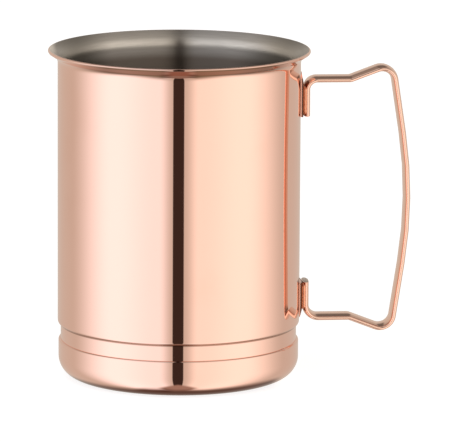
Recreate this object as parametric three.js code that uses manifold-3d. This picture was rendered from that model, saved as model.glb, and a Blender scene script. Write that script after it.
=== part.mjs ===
// Copper beer mug: a copper body and base cup around a steel liner, with a handle bent from an oval strap.
// Millimetres, +Z up. The origin is on the table under the mug's middle, and the handle points along +X.
import * as THREE from 'three';
import { mergeVertices } from 'three/addons/utils/BufferGeometryUtils.js';
import Module from 'manifold-3d';

const wasm = await Module();
wasm.setup();

const degrees = THREE.MathUtils.degToRad;
const point = (x, y) => new THREE.Vector2(x, y);

// Sheet and clearances
const copperSheet = 0.6;
const steelSheet = 0.5;
const seamGap = 0.05; // between two brazed or pressed faces

// Body and lip
const bodyRadius = 44; // outside of the straight copper wall
const mugHeight = 120; // table to the crest of the lip
const lipReach = 3.5; // how far the lip's edge stands out from the wall
const flareRadius = 2.8; // bend between the wall and the flared lip
const flareAngle = degrees(56); // from the vertical

// Step between the body and the base cup
const stepDepth = 1.1; // how far the collar lies inside the wall
const bodyEdgeHeight = 19.3; // lower edge of the body
const bodyEdgeRadius = 1.4; // the body's lower edge turns in with this radius
const collarOverlap = 5; // how far the collar stands up inside the body
const brazeRingHeight = 2.6;

// Base cup
const baseInset = 0.3; // how far the base cup's wall lies inside the body's wall
const shoulderHeight = 13.8; // top of the base, where the collar starts
const shoulderRadius = 0.7;
const baseCornerRadius = 7.5;
const footWidth = 2; // flat ring that the mug stands on
const recessDepth = 0.7;
const recessSlope = 2.4; // width of the slope between foot ring and recess

// Liner
const linerNeckRadius = 3.5; // bend between the liner's wall and its flared lip
const linerCornerRadius = 6.5;
const airGap = 2; // between the liner's floor and the base cup

// Strap handle
const strapWidth = 9.8; // the strap's section is an oval, bent over its flat side
const strapThickness = 2.5;
const upperRunDrop = 11.22; // crest of the lip to the middle of the upper run
const lowerRunHeight = 21; // table to the middle of the lower run
const upperLegLength = 13.3;
const lowerLegLength = 13.4;
const runReach = 18.2; // wall to the bend where a run turns into its slope
const shoulderReach = 33.45; // wall to the handle's two outer corners
const upperCornerRise = 5.67; // upper run to the upper outer corner
const lowerCornerDrop = 5.85; // lower run to the lower outer corner
const gripReach = 41; // wall to the corner that the grip's bow rounds off
const upperLegBend = 3.7;
const lowerLegBend = 4.7;
const slopeBend = 3;
const cornerBend = 4.9;
const bowRadius = 158;

// Handle plates and braze seams
const plateThickness = 0.9;
const plateWidth = 10.8;
const upperPlateLength = 16.1;
const lowerPlateLength = 13.3;
const plateEaseLength = 3.8; // the free end thins out over this length
const plateTipThickness = 0.25;
const plateCornerRadius = 3;
const seamReach = 4.8; // the strap's middle to the outside of a braze seam on the plate
const seamSlope = 0.9; // how much less the seam reaches over the strap
const seamRoot = 1.7; // where the crease gets too narrow for braze, from the strap's middle
const seamInset = 0.4; // bare length at the strap's cut end

// How finely round shapes are cut into flats
const revolveSegments = 64;
const strapSides = 20;
const strapBendStep = degrees(13); // the most that the strap turns from one section to the next
const strapStepLength = 9; // and the longest step along its wide bow
const plateSegments = 8;

// Sizes that follow from the ones above
const lipRadius = bodyRadius + lipReach;
const collarRadius = bodyRadius - stepDepth;
const baseRadius = bodyRadius - baseInset;
const linerRadius = collarRadius - copperSheet - seamGap;
const linerFloorHeight = recessDepth + copperSheet + airGap;
const beadRadius = (copperSheet + seamGap + steelSheet) / 2; // the lip's edge is a bead of both sheets
const plateInnerRadius = bodyRadius + seamGap;
const plateOuterRadius = plateInnerRadius + plateThickness;
const legDistance = plateOuterRadius + seamGap + strapThickness / 2; // mug's axis to the middle of the legs
const upperRunHeight = mugHeight - upperRunDrop;
const upperLegEnd = upperRunHeight - upperLegLength;
const lowerLegEnd = lowerRunHeight + lowerLegLength;

// Points on an arc from one angle to another, both ends included.
function arc(centreX, centreY, radius, from, to, steps) {
  const points = [];
  for (let i = 0; i <= steps; i++) {
    const angle = from + ((to - from) * i) / steps;
    points.push(new THREE.Vector2(centreX + radius * Math.cos(angle), centreY + radius * Math.sin(angle)));
  }
  return points;
}

// An oval, closed but with no point twice.
function oval(centreX, width, height, sides) {
  const round = arc(0, 0, 0.5, 0, 2 * Math.PI, sides).slice(0, -1);
  return round.map((p) => point(centreX + width * p.x, height * p.y));
}

// A profile of (radius, height) points, turned about the mug's axis.
function revolve(profile) {
  const geometry = new THREE.LatheGeometry(profile, revolveSegments);
  geometry.rotateX(Math.PI / 2);
  return geometry;
}

// A flat outline in the XY plane, pushed up along Z.
function push(outline, length) {
  return new THREE.ExtrudeGeometry(new THREE.Shape(outline), { depth: length, bevelEnabled: false });
}

function toSolid(geometry) {
  const bare = geometry.clone();
  bare.deleteAttribute('normal');
  bare.deleteAttribute('uv');
  const merged = mergeVertices(bare, 1e-4);
  return new wasm.Manifold(
    new wasm.Mesh({
      numProp: 3,
      vertProperties: new Float32Array(merged.attributes.position.array),
      triVerts: new Uint32Array(merged.index.array),
    }),
  );
}

function toGeometry(solid) {
  const mesh = solid.getMesh();
  const geometry = new THREE.BufferGeometry();
  geometry.setAttribute('position', new THREE.BufferAttribute(mesh.vertProperties, mesh.numProp));
  geometry.setIndex(new THREE.BufferAttribute(mesh.triVerts, 1));
  geometry.computeVertexNormals();
  return geometry;
}

// The lip in section: both sheets run up at the flare's angle and end in one round bead.
// along points up the flare, across points out through the copper.
const beadCentre = point(lipRadius - beadRadius, mugHeight - beadRadius);
const along = point(Math.sin(flareAngle), Math.cos(flareAngle));
const across = point(Math.cos(flareAngle), -Math.sin(flareAngle));

// A point on a flared face that lies this far out from the bead's centre, where it reaches the given radius.
function onFlare(offset, radius) {
  const start = beadCentre.clone().addScaledVector(across, offset);
  return start.addScaledVector(along, (radius - start.x) / along.x);
}

// The bend at the foot of a flared face: where the face meets it, and the height where the wall starts.
function neck(offset, wallRadius, bendRadius) {
  const top = onFlare(offset, wallRadius + bendRadius * (1 - Math.cos(flareAngle)));
  return { wallTop: top.y - bendRadius * Math.sin(flareAngle), centreX: wallRadius + bendRadius };
}

function copperBodyProfile() {
  const outerNeck = neck(beadRadius, bodyRadius, flareRadius);
  const innerFace = beadRadius - copperSheet;
  const innerBend = flareRadius + copperSheet;
  const hemRadius = beadCentre.x + seamGap / 2;
  const crestAngle = Math.acos(seamGap / 2 / beadRadius);
  const edgeStart = bodyEdgeHeight + bodyEdgeRadius;
  const edgeCentre = bodyRadius - bodyEdgeRadius;
  const edgeInnerRadius = Math.max(bodyEdgeRadius - copperSheet, 0.1);
  const edgeReach = collarRadius + seamGap - edgeCentre; // the edge is trimmed to fit round the collar
  const turnFor = (radius) => Math.acos(THREE.MathUtils.clamp(edgeReach / radius, 0, 1));
  const outerTurn = turnFor(bodyEdgeRadius);
  const innerTurn = turnFor(edgeInnerRadius);
  const outerEdge = arc(edgeCentre, edgeStart, bodyEdgeRadius, -outerTurn, 0, 5);
  const innerEdge = arc(edgeCentre, edgeStart, edgeInnerRadius, 0, -innerTurn, 3);
  const trimmed = collarRadius + seamGap;
  const bend = arc(outerNeck.centreX, outerNeck.wallTop, flareRadius, Math.PI, Math.PI - flareAngle, 5);
  const bead = arc(beadCentre.x, beadCentre.y, beadRadius, -flareAngle, crestAngle, 6);
  const innerSide = arc(outerNeck.centreX, outerNeck.wallTop, innerBend, Math.PI - flareAngle, Math.PI, 5);
  return [
    point(trimmed, outerEdge[0].y),
    ...outerEdge.filter((p) => p.x > trimmed + 1e-6),
    ...bend,
    ...bead,
    onFlare(innerFace, hemRadius),
    ...innerSide,
    ...innerEdge.filter((p) => p.x > trimmed + 1e-6),
    point(trimmed, innerEdge.at(-1).y),
    point(trimmed, outerEdge[0].y),
  ];
}

function baseCupProfile() {
  const innerCollar = collarRadius - copperSheet;
  const collarTop = bodyEdgeHeight + collarOverlap;
  const rounding = Math.min(shoulderRadius, baseRadius - collarRadius);
  const cornerCentre = baseRadius - baseCornerRadius;
  const footInner = cornerCentre - footWidth;
  const slope = [];
  for (let i = 0; i <= 4; i++) {
    const t = i / 4;
    slope.push(point(footInner - recessSlope * (1 - t), (recessDepth * (1 + Math.cos(Math.PI * t))) / 2));
  }
  const inside = slope.map((p) => point(p.x, p.y + copperSheet)).reverse();
  return [
    point(0, recessDepth),
    ...slope,
    ...arc(cornerCentre, baseCornerRadius, baseCornerRadius, -Math.PI / 2, 0, 8),
    ...arc(baseRadius - rounding, shoulderHeight - rounding, rounding, 0, Math.PI / 2, 3),
    point(collarRadius, shoulderHeight),
    point(collarRadius, collarTop),
    point(innerCollar, collarTop),
    point(innerCollar, shoulderHeight - copperSheet),
    point(baseRadius - copperSheet, shoulderHeight - copperSheet),
    ...arc(cornerCentre, baseCornerRadius, baseCornerRadius - copperSheet, 0, -Math.PI / 2, 6),
    ...inside,
    point(0, recessDepth + copperSheet),
  ];
}

function steelLinerProfile() {
  const outerFace = beadRadius - copperSheet - seamGap;
  const outerNeck = neck(outerFace, linerRadius, linerNeckRadius);
  const innerBend = linerNeckRadius + steelSheet;
  const innerCorner = linerCornerRadius - steelSheet;
  const cornerCentre = linerRadius - linerCornerRadius;
  const cornerHeight = linerFloorHeight + linerCornerRadius;
  const crestRadius = beadCentre.x - seamGap / 2;
  const crestAngle = Math.acos(-seamGap / 2 / beadRadius);
  return [
    point(0, linerFloorHeight),
    ...arc(cornerCentre, cornerHeight, linerCornerRadius, -Math.PI / 2, 0, 6),
    ...arc(outerNeck.centreX, outerNeck.wallTop, linerNeckRadius, Math.PI, Math.PI - flareAngle, 4),
    onFlare(outerFace, crestRadius),
    ...arc(beadCentre.x, beadCentre.y, beadRadius, crestAngle, Math.PI - flareAngle, 3),
    ...arc(outerNeck.centreX, outerNeck.wallTop, innerBend, Math.PI - flareAngle, Math.PI, 4),
    ...arc(cornerCentre, cornerHeight, innerCorner, 0, -Math.PI / 2, 5),
    point(0, linerFloorHeight + steelSheet),
  ];
}

// Braze that fills the space between the collar and the body, just above the body's turned-in edge.
function brazeRingProfile() {
  const inner = collarRadius + seamGap;
  const outer = bodyRadius - copperSheet - seamGap;
  const bottom = bodyEdgeHeight + bodyEdgeRadius + seamGap;
  return [
    point(inner, bottom),
    point(outer, bottom),
    point(outer, bottom + brazeRingHeight),
    point(inner, bottom + brazeRingHeight),
    point(inner, bottom),
  ];
}

// The handle's middle line: straights and bends in the plane y = 0, with a section at each end of each bend.
class BentStrap extends THREE.Curve {
  constructor(corners) {
    super();
    this.places = [];
    this.directions = [];
    const toward = (a, b) => b.clone().sub(a).normalize();
    this.addSection(corners[0], toward(corners[0], corners[1]));
    for (let i = 1; i < corners.length - 1; i++) {
      this.addBend(corners[i - 1], corners[i], corners[i + 1]);
    }
    const last = corners.length - 1;
    this.addSection(corners[last], toward(corners[last - 1], corners[last]));
  }

  addSection(place, direction) {
    this.places.push(new THREE.Vector3(place.x, 0, place.y));
    this.directions.push(new THREE.Vector3(direction.x, 0, direction.y));
  }

  addBend(before, corner, after) {
    const into = corner.clone().sub(before);
    const out = after.clone().sub(corner);
    const room = 0.48 * Math.min(into.length(), out.length()); // two bends share each straight
    into.normalize();
    out.normalize();
    const turn = Math.atan2(into.cross(out), into.dot(out));
    const tangent = Math.min(corner.bend * Math.tan(Math.abs(turn) / 2), room);
    const radius = tangent / Math.tan(Math.abs(turn) / 2);
    const side = Math.sign(turn);
    const start = corner.clone().addScaledVector(into, -tangent);
    const centre = start.clone().add(point(-into.y, into.x).multiplyScalar(side * radius));
    const byAngle = Math.ceil(Math.abs(turn) / strapBendStep);
    const byLength = Math.ceil((radius * Math.abs(turn)) / strapStepLength);
    const steps = Math.max(2, byAngle, byLength);
    for (let i = 0; i <= steps; i++) {
      const angle = (turn * i) / steps;
      const place = start.clone().rotateAround(centre, angle);
      this.addSection(place, into.clone().rotateAround(point(0, 0), angle));
    }
  }

  get sections() {
    return this.places.length - 1;
  }

  getPoint(t) {
    return this.places[Math.round(t * this.sections)].clone();
  }

  getPointAt(u) {
    return this.getPoint(u);
  }

  getTangentAt(u) {
    return this.directions[Math.round(u * this.sections)].clone();
  }
}

function corner(x, z, bend) {
  const place = point(x, z);
  place.bend = bend;
  return place;
}

function handleGeometry() {
  const runEnd = bodyRadius + runReach;
  const outerCorner = bodyRadius + shoulderReach;
  const upperCorner = upperRunHeight + upperCornerRise;
  const lowerCorner = lowerRunHeight - lowerCornerDrop;
  const strap = new BentStrap([
    corner(legDistance, upperLegEnd, 0),
    corner(legDistance, upperRunHeight, upperLegBend),
    corner(runEnd, upperRunHeight, slopeBend),
    corner(outerCorner, upperCorner, cornerBend),
    corner(bodyRadius + gripReach, (upperCorner + lowerCorner) / 2, bowRadius),
    corner(outerCorner, lowerCorner, cornerBend),
    corner(runEnd, lowerRunHeight, slopeBend),
    corner(legDistance, lowerRunHeight, lowerLegBend),
    corner(legDistance, lowerLegEnd, 0),
  ]);
  const section = new THREE.Shape(oval(0, strapWidth, strapThickness, strapSides));
  const sweep = { steps: strap.sections, extrudePath: strap, bevelEnabled: false };
  return new THREE.ExtrudeGeometry(section, sweep);
}

// A strip of a ring round the mug's axis, from z = 0 up.
function ringStrip(innerRadius, outerRadius, width, height) {
  const half = Math.asin(width / 2 / innerRadius);
  const outline = [
    ...arc(0, 0, outerRadius, -half, half, plateSegments),
    ...arc(0, 0, innerRadius, half, -half, plateSegments),
  ];
  return toSolid(push(outline, height));
}

// The plate's outline seen from the handle's side, pushed through the wall's direction (x).
function plateOutline(width, length) {
  const half = width / 2;
  const round = Math.min(plateCornerRadius, half);
  const outline = [
    point(-half, 0),
    point(half, 0),
    ...arc(half - round, length - round, round, 0, Math.PI / 2, 5),
    ...arc(round - half, length - round, round, Math.PI / 2, Math.PI, 5),
  ];
  const geometry = push(outline, plateOuterRadius + plateThickness);
  geometry.rotateX(Math.PI / 2);
  geometry.rotateZ(Math.PI / 2);
  return toSolid(geometry);
}

// The plate seen edge-on: full thickness, then an eased free end. It is pushed across the plate's width.
function plateEase(width, length) {
  const easeStart = length - plateEaseLength;
  const tip = plateOuterRadius - plateThickness + plateTipThickness;
  const curve = new THREE.CubicBezierCurve(
    point(plateOuterRadius, easeStart),
    point(plateOuterRadius, easeStart + plateEaseLength / 3),
    point(tip + (plateOuterRadius - tip) / 3, length - plateEaseLength / 3),
    point(tip, length),
  );
  const outline = [point(0, 0), point(plateOuterRadius, 0), ...curve.getPoints(5), point(0, length)];
  const geometry = push(outline, width);
  geometry.rotateX(Math.PI / 2);
  geometry.translate(0, width / 2, 0);
  return toSolid(geometry);
}

function plateSolid(length) {
  const strip = ringStrip(plateInnerRadius, plateOuterRadius, plateWidth, length);
  return strip.intersect(plateOutline(plateWidth, length)).intersect(plateEase(2 * plateWidth, length));
}

// One braze seam: a wedge laid into the crease between a leg and its plate, from z = 0 up.
function seamSolid(length) {
  const plateFace = plateOuterRadius + seamGap;
  const reach = Math.min(seamReach - seamSlope, strapWidth / 2);
  const depth = (strapThickness / 2) * Math.sqrt(1 - ((2 * reach) / strapWidth) ** 2);
  const wedge = [
    point(plateInnerRadius, seamRoot),
    point(legDistance - depth, seamRoot),
    point(legDistance - depth, reach),
    point(plateFace, seamReach),
    point(plateInnerRadius, seamReach),
  ];
  const strap = oval(legDistance, strapThickness + 2 * seamGap, strapWidth + 2 * seamGap, 2 * strapSides);
  const plate = ringStrip(plateInnerRadius - plateThickness, plateFace, 2 * plateWidth, length);
  return toSolid(push(wedge, length)).subtract(toSolid(push(strap, length))).subtract(plate);
}

const copper = () => new THREE.MeshStandardMaterial({ color: 0xe9a98a, metalness: 1, roughness: 0.12 });
const braze = () => new THREE.MeshStandardMaterial({ color: 0xb98263, metalness: 1, roughness: 0.45 });
const steel = () => new THREE.MeshStandardMaterial({ color: 0xb9b4ac, metalness: 1, roughness: 0.35 });

const mug = new THREE.Group();

function add(parent, name, geometry, material) {
  const mesh = new THREE.Mesh(geometry, material);
  mesh.name = name;
  parent.add(mesh);
  return mesh;
}

add(mug, 'copper_body', revolve(copperBodyProfile()), copper());
add(mug, 'base_cup', revolve(baseCupProfile()), copper());
add(mug, 'steel_liner', revolve(steelLinerProfile()), steel());
add(mug, 'base_braze_ring', revolve(brazeRingProfile()), braze());
add(mug, 'strap_handle', handleGeometry(), copper());

// The upper plate starts level with the strap's cut end. The lower one hangs from its end, upside down.
function addJoint(name, legEnd, upsideDown, plateLength, contactLength) {
  const joint = new THREE.Group();
  joint.position.z = legEnd;
  if (upsideDown) joint.rotation.x = Math.PI;
  const seam = seamSolid(contactLength - seamInset);
  const place = (solid) => toGeometry(solid.translate(0, 0, seamInset));
  add(joint, name + '_handle_plate', toGeometry(plateSolid(plateLength)), copper());
  const nearSide = upsideDown ? 'front' : 'back';
  const farSide = upsideDown ? 'back' : 'front';
  add(joint, name + '_braze_' + nearSide, place(seam), braze());
  add(joint, name + '_braze_' + farSide, place(seam.mirror([0, 1, 0])), braze());
  mug.add(joint);
}

addJoint('upper', upperLegEnd, false, upperPlateLength, upperLegLength - upperLegBend);
addJoint('lower', lowerLegEnd, true, lowerPlateLength, lowerLegLength - lowerLegBend);

export default mug;
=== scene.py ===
"""A copper beer mug in a white studio, modelled round its CAD frame. Metres, +Z up, the handle along +X."""

import math

import bmesh
import bpy
from bpy.props import FloatProperty, FloatVectorProperty, IntProperty, PointerProperty
from mathutils import Matrix, Vector, noise


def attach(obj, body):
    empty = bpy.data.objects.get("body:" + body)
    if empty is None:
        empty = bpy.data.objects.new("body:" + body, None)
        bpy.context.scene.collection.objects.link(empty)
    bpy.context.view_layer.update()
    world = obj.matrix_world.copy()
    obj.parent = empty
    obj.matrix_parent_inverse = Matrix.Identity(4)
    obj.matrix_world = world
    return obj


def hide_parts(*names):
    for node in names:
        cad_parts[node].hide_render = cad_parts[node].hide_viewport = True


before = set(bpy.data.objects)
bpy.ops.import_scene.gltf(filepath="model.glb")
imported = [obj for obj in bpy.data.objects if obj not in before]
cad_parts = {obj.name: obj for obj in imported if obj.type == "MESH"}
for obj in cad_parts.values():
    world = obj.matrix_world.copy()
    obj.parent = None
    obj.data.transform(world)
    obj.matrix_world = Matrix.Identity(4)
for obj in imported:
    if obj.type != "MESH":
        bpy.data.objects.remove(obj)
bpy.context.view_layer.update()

bl_info = {
    "name": "Copper Beer Mug",
    "version": (1, 0, 0),
    "blender": (4, 5, 0),
    "location": "3D View > Sidebar > Mug",
    "description": "Builds a copper beer mug with a bent strap handle, piece by piece, and its studio",
    "category": "Add Mesh",
}

BODY = "root"
MERGE_DISTANCE = 1e-7
HOLD_DISTANCE = 0.00025  # a straight gets a point this close to each end, which keeps its shading flat
SHARP_ANGLE = math.radians(38)
LEAST_RADIUS = 0.0001
PICTURE_WIDTH = 450
PICTURE_HEIGHT = 442
SENSOR_WIDTH = 36
BLACK = (0.0, 0.0, 0.0)
WHITE = (1.0, 1.0, 1.0)


# Sizes, colours and lights that a user would change

def length(name, default, description):
    return FloatProperty(
        name=name, default=default, description=description,
        min=0, precision=5, unit="LENGTH", subtype="DISTANCE",
    )


def angle(name, degrees, description):
    return FloatProperty(
        name=name, default=math.radians(degrees), description=description, unit="ROTATION", subtype="ANGLE",
    )


def factor(name, default, description):
    return FloatProperty(
        name=name, default=default, description=description, min=0, soft_max=1, subtype="FACTOR",
    )


def colour(name, default, description):
    return FloatVectorProperty(
        name=name, default=default, description=description, size=3, min=0, soft_max=1, subtype="COLOR",
    )


def pixels(name, default, description):
    return FloatProperty(name=name, default=default, description=description, min=0, subtype="PIXEL")


class MugSizes(bpy.types.PropertyGroup):
    body_radius: length("Body radius", 0.044, "Outside of the straight copper wall")
    height: length("Height", 0.12, "Table to the crest of the lip")
    lip_reach: length("Lip reach", 0.0035, "How far the lip's edge stands out from the wall")
    flare_radius: length("Flare radius", 0.0028, "Bend between the wall and the flared lip")
    flare_angle: angle("Flare angle", 56, "Lean of the flared lip from the vertical")
    copper_sheet: length("Copper sheet", 0.0006, "Thickness of the copper")
    steel_sheet: length("Steel sheet", 0.0005, "Thickness of the steel lining")
    seam_gap: length("Seam gap", 0.00005, "Space between two pressed or brazed faces")
    step_depth: length("Step depth", 0.0011, "How far the collar lies inside the wall")
    body_edge_height: length("Body edge height", 0.0193, "Table to the lower edge of the body")
    body_edge_radius: length("Body edge radius", 0.0014, "The body's lower edge turns in with this radius")
    collar_overlap: length("Collar overlap", 0.005, "How far the collar stands up inside the body")
    base_inset: length("Base inset", 0.0003, "How far the base cup's wall lies inside the body's wall")
    shoulder_height: length("Shoulder height", 0.0138, "Table to the top of the base, under the collar")
    shoulder_radius: length("Shoulder radius", 0.0007, "Rounding of the base's shoulder")
    base_corner_radius: length("Base corner radius", 0.0075, "Rounding between the base's wall and its foot")
    foot_width: length("Foot width", 0.002, "Flat ring that the mug stands on")
    recess_depth: length("Recess depth", 0.0007, "How far the middle of the underside is set in")
    recess_slope: length("Recess slope", 0.0024, "Width of the slope between foot ring and recess")
    liner_neck_radius: length("Liner neck radius", 0.0035, "Bend between the lining's wall and its lip")
    liner_corner_radius: length("Liner corner radius", 0.0065, "Rounding between its wall and its floor")
    air_gap: length("Air gap", 0.002, "Between the lining's floor and the base cup")


class HandleSizes(bpy.types.PropertyGroup):
    strap_width: length("Strap width", 0.0098, "Width of the oval strap that the handle is bent from")
    strap_thickness: length("Strap thickness", 0.0025, "Thickness of the strap in its middle")
    strap_fullness: FloatProperty(
        name="Strap fullness", default=2.3, min=1, description="2 is a plain oval, more is fuller",
    )
    upper_run_drop: length("Upper run drop", 0.01122, "Crest of the lip to the middle of the upper run")
    lower_run_height: length("Lower run height", 0.021, "Table to the middle of the lower run")
    upper_leg: length("Upper leg", 0.0133, "Upper run to the strap's upper cut end")
    lower_leg: length("Lower leg", 0.0134, "Lower run to the strap's lower cut end")
    run_reach: length("Run reach", 0.0182, "Wall to the bend where a run turns into its slope")
    corner_reach: length("Corner reach", 0.03345, "Wall to the two outer corners")
    upper_rise: length("Upper rise", 0.00567, "Upper run to the upper outer corner")
    lower_drop: length("Lower drop", 0.00585, "Lower run to the lower outer corner")
    grip_reach: length("Grip reach", 0.041, "Wall to the corner that the grip's bow rounds off")
    upper_leg_bend: length("Upper leg bend", 0.0037, "Bend at the top of the upper leg")
    lower_leg_bend: length("Lower leg bend", 0.0047, "Bend at the bottom of the lower leg")
    slope_bend: length("Slope bend", 0.003, "Bend where a run turns into its slope")
    corner_bend: length("Corner bend", 0.0049, "Bend at the outer corners")
    bow_radius: length("Bow radius", 0.158, "Wide bow of the grip")
    end_bevel: length("End bevel", 0.00012, "Worn edge of the strap's cut ends")
    plate_thickness: length("Plate thickness", 0.0009, "Thickness of the plates under the strap's legs")
    plate_width: length("Plate width", 0.0108, "Width of the plates along the wall")
    upper_plate: length("Upper plate", 0.0161, "Length of the upper plate")
    lower_plate: length("Lower plate", 0.0133, "Length of the lower plate")
    plate_ease: length("Plate ease", 0.0038, "A plate's free end thins out over this length")
    plate_tip: length("Plate tip", 0.00025, "Thickness that is left at a plate's free end")
    plate_corner: length("Plate corner", 0.003, "Rounding of the corners at a plate's free end")
    plate_bevel: length("Plate bevel", 0.0001, "Worn edge of the plates")
    seam_reach: length("Seam reach", 0.0048, "Middle of the strap to the outside of a braze seam")
    seam_root: length("Seam root", 0.0017, "Middle of the strap to the root of a braze seam")
    seam_slope: length("Seam slope", 0.0009, "How much less it reaches over the strap than over the plate")
    seam_inset: length("Seam inset", 0.0004, "Bare length of leg at the strap's cut end")
    seam_climb: length("Seam climb", 0.0016, "How far a seam climbs along the strap's bend")


class Finishes(bpy.types.PropertyGroup):
    copper: colour("Copper", (0.955, 0.638, 0.538), "Polished copper")
    copper_tarnish: factor("Copper tarnish", 0.22, "How dark the copper's blotches are")
    copper_roughness: factor("Copper roughness", 0.018, "Blur of the copper's mirror")
    tarnish: colour("Tarnish", (0.80, 0.46, 0.34), "Copper that has started to darken")
    strap: colour("Strap", (0.98, 0.66, 0.53), "Copper of the strap")
    strap_tarnish: factor("Strap tarnish", 0.25, "How dark the strap's blotches are")
    strap_roughness: factor("Strap roughness", 0.12, "Blur of the strap's copper")
    # painted reflection: a dark band under the lip, for the dark room that the flare reflects; the crease
    # below takes it as painted shade
    neck: colour("Neck", (0.19, 0.108, 0.065), "Tarnish under the lip, where no wheel reaches")
    # how much lighter the painted reflection under the lip is in the middle
    thinned: factor("Rubbed", 0.72, "How much of it is rubbed off in line with the handle")
    # painted shade: how dark the crease under the body's turned-in edge is painted
    flux: factor("Flux", 0.7, "How much dark flux shows in the crease under the body")
    # painted shade: the dark round the foot stands for the shaded floor that the base reflects
    foot_shade: colour("Soot", (0.14, 0.05, 0.033), "Dark metal round the foot")
    # painted shade: the plates' outer faces darkened in the crevice by the strap
    plate_shade: colour("Stain", (0.20, 0.06, 0.025), "Heat stain of the brazing on the plates' outer faces")
    braze: colour("Braze", (0.97, 0.66, 0.50), "Braze metal in the creases")
    steel: colour("Steel", (0.57, 0.54, 0.505), "Satin steel of the lining")
    # painted shade: steel deep inside the lining is painted darker; the turned scratches also take this
    # colour
    steel_dark: colour("Steel dark", (0.27, 0.23, 0.20), "Duller steel deep inside")
    # painted highlight: a bright band near the mouth and a glint at the far end's tip
    steel_highlight: colour("Steel bright", (0.92, 0.88, 0.81), "Steel that wiping keeps bright near the mouth")
    # painted shade in both ends of the lining, and how much of it shows
    steel_end_shade: colour("Steel end", (0.03, 0.03, 0.022), "Grime in the lining's two ends")
    steel_end_shade_share: factor("Steel grime", 0.52, "How much of the grime shows")
    steel_deep_end_shade: factor("Steel deep grime", 0.45, "How much of it shows below the mouth at both ends")
    steel_roughness: factor("Steel roughness", 0.36, "Blur of the satin steel")
    steel_brushing: factor("Steel brushing", 1.0, "How much the steel's blur runs across its brushed rings")
    cut_metal: colour("Cut metal", (0.92, 0.84, 0.77), "The strap's sawn ends")


class Studio(bpy.types.PropertyGroup):
    left_box: colour("Left box", (1.34, 1.33, 1.36), "Light of the soft box on the left")
    right_box: colour("Right box", (1.30, 1.20, 1.10), "Light of the soft box on the right")
    surround: colour("Surround", (0.64, 0.58, 0.51), "Light of the room round the boxes")
    gap: colour("Gap", (0.045, 0.028, 0.022), "Dark gap between the boxes, where the camera stands")
    ceiling: colour("Ceiling", (0.17, 0.155, 0.14), "Dark room above and behind the mug")
    ceiling_start: angle("Ceiling start", 100, "Over the camera and the zenith, the dark room starts here")
    ceiling_end: angle("Ceiling end", 158, "And here it meets the pale backdrop")
    ceiling_side: factor("Ceiling side", 0.25, "Sine of how far the dark room reaches to each side")
    high_light: factor("High light", 0.5, "What is left of the boxes' light high above the camera")
    under: colour("Under", (0.37, 0.25, 0.20), "Shaded floor near the mug")
    under_middle: angle("Under middle", -47, "Height where the shaded floor starts in the middle")
    under_drop: angle("Under drop", 34, "It starts this much lower at the sides")
    under_side: angle("Under side", 50, "The sides start this far from the middle")
    gap_left: angle("Gap left", -5.55, "Left edge of the gap, counted from the camera's side")
    gap_right: angle("Gap right", 4.85, "Right edge of the gap")
    box_start: angle("Box start", 5, "The boxes' light starts to rise this far from the middle")
    box_full: angle("Box full", 19, "Most of the boxes' light is reached here")
    box_peak: angle("Box peak", 62, "The middle of each box")
    box_fade: angle("Box fade", 66, "The boxes start to fade out here")
    box_end: angle("Box end", 124, "The boxes end here")
    floor_glow: factor("Floor glow", 0.86, "White that the floor shows to the camera by itself")
    floor_colour: colour("Floor colour", (0.4, 0.4, 0.4), "What the floor reflects of the studio's light")
    floor_size: length("Floor size", 6, "Width of the floor")
    camera_turn: angle("Camera turn", 4.6, "How far round from the handle's side view the camera is")
    camera_distance: length("Camera distance", 2.001, "Camera to its target")
    camera_elevation: angle("Camera elevation", 10.475, "The camera looks down on the mug by this angle")
    camera_roll: angle("Camera roll", 0.303, "Lean of the camera about its view")
    focal_pixels: pixels("Focal length", 5509, "Focal length in pixels of the picture")
    target_height: length("Target height", 0.06, "Point on the mug's axis that the camera is set by")
    target_column: pixels("Target column", 178.03, "From the picture's left edge to the target")
    target_row: pixels("Target row", 212.21, "From the picture's top edge to the target")


class Smoothness(bpy.types.PropertyGroup):
    turn_steps: IntProperty(name="Turn steps", default=256, min=16, description="Faces round the mug")
    strap_sides: IntProperty(name="Strap sides", default=56, min=8, description="Faces round the strap")
    bend_step: angle("Bend step", 4.5, "The most that one face turns in a bend")


# Section lines in the plane of x and z

class Section:
    """A line drawn from point to point, which a spin then turns into a piece."""

    def __init__(self, mesh, x, z):
        self.mesh = mesh
        self.tip = mesh.verts.new((x, 0, z))

    def point(self, x, z):
        made = bmesh.ops.extrude_vert_indiv(self.mesh, verts=[self.tip])
        self.tip = made["verts"][0]
        self.tip.co = (x, 0, z)

    def line(self, x, z):
        for place in straight_points(self.tip.co.copy(), Vector((x, 0, z))):
            self.point(place.x, place.z)

    def arc(self, centre, radius, start, end):
        """A line to the arc's first point, and the arc. Angles run from x towards z."""
        self.line(centre[0] + radius * math.cos(start), centre[1] + radius * math.sin(start))
        far_end = spin_bend(self.mesh, [self.tip], (centre[0], 0, centre[1]), end - start)
        self.tip = only(far_end, bmesh.types.BMVert)[0]


def straight_points(start, end):
    """The points that a straight goes through, on from its start."""
    travel = end - start
    if travel.length > 4 * HOLD_DISTANCE:
        hold = travel.normalized() * HOLD_DISTANCE
        yield start + hold
        yield end - hold
    if travel.length > MERGE_DISTANCE:
        yield end


def only(geometry, kind):
    return [item for item in geometry if isinstance(item, kind)]


def spin_bend(mesh, geometry, centre, turn):
    """Spins in the plane of x and z, by an angle from x towards z, and returns what lies at its end."""
    steps = max(2, math.ceil(abs(turn) / bpy.context.scene.mug_smoothness.bend_step))
    made = bmesh.ops.spin(
        mesh, geom=geometry, cent=centre, axis=(0, -1, 0), dvec=(0, 0, 0), angle=turn, steps=steps,
        use_merge=False, use_normal_flip=False, use_duplicate=False,
    )
    return made["geom_last"]


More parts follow.
